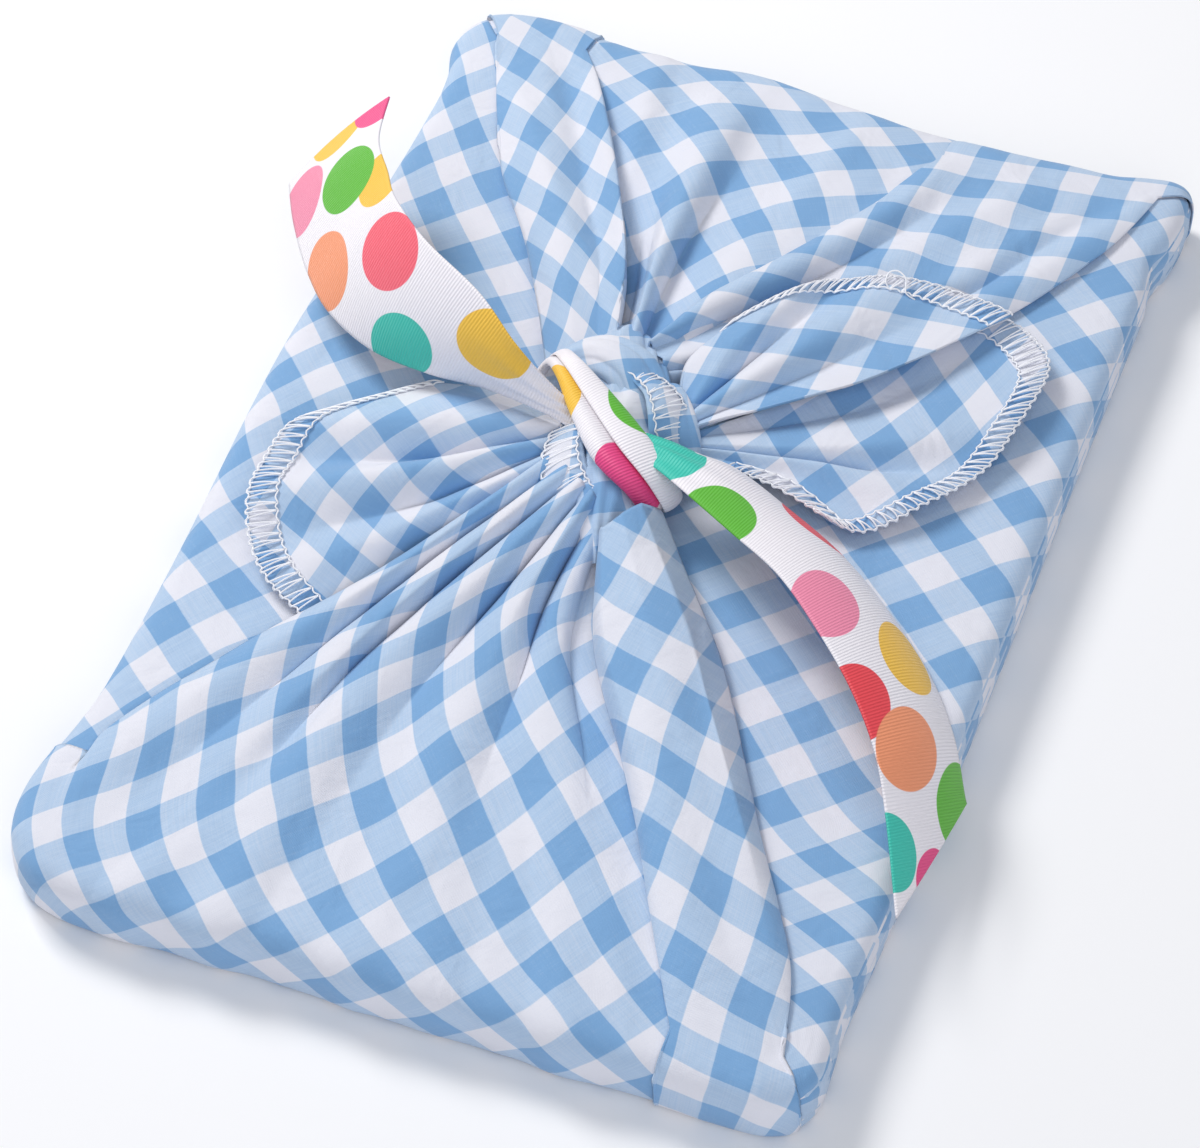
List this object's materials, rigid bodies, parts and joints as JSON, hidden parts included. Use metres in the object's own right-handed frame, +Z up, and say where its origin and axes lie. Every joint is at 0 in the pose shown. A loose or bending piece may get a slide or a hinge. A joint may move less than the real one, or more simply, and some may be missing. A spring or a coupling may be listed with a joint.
{
  "type": "furoshiki wrap",
  "caption": "Furoshiki wrap: a checked cotton cloth folded round a flat parcel and knotted on top, its corner tails spread, with a spotted ribbon tied round the knot.",
  "frame": {"origin": "middle of the flat underside, on the surface that the parcel rests on", "axes": "+X along the parcel's short side, +Y away along its long side, +Z up out of the surface"},
  "size_m": [0.2339, 0.3193, 0.0624],
  "materials": {
    "gingham_cotton": "matte woven blue and white gingham cotton with a white overlocked hem",
    "grosgrain_ribbon": "fine-ribbed white grosgrain with printed round spots, slight sheen"
  },
  "bodies": {
    "root": {"cloth": "gingham_cotton", "ribbon": "grosgrain_ribbon"}
  },
  "joints": []
}
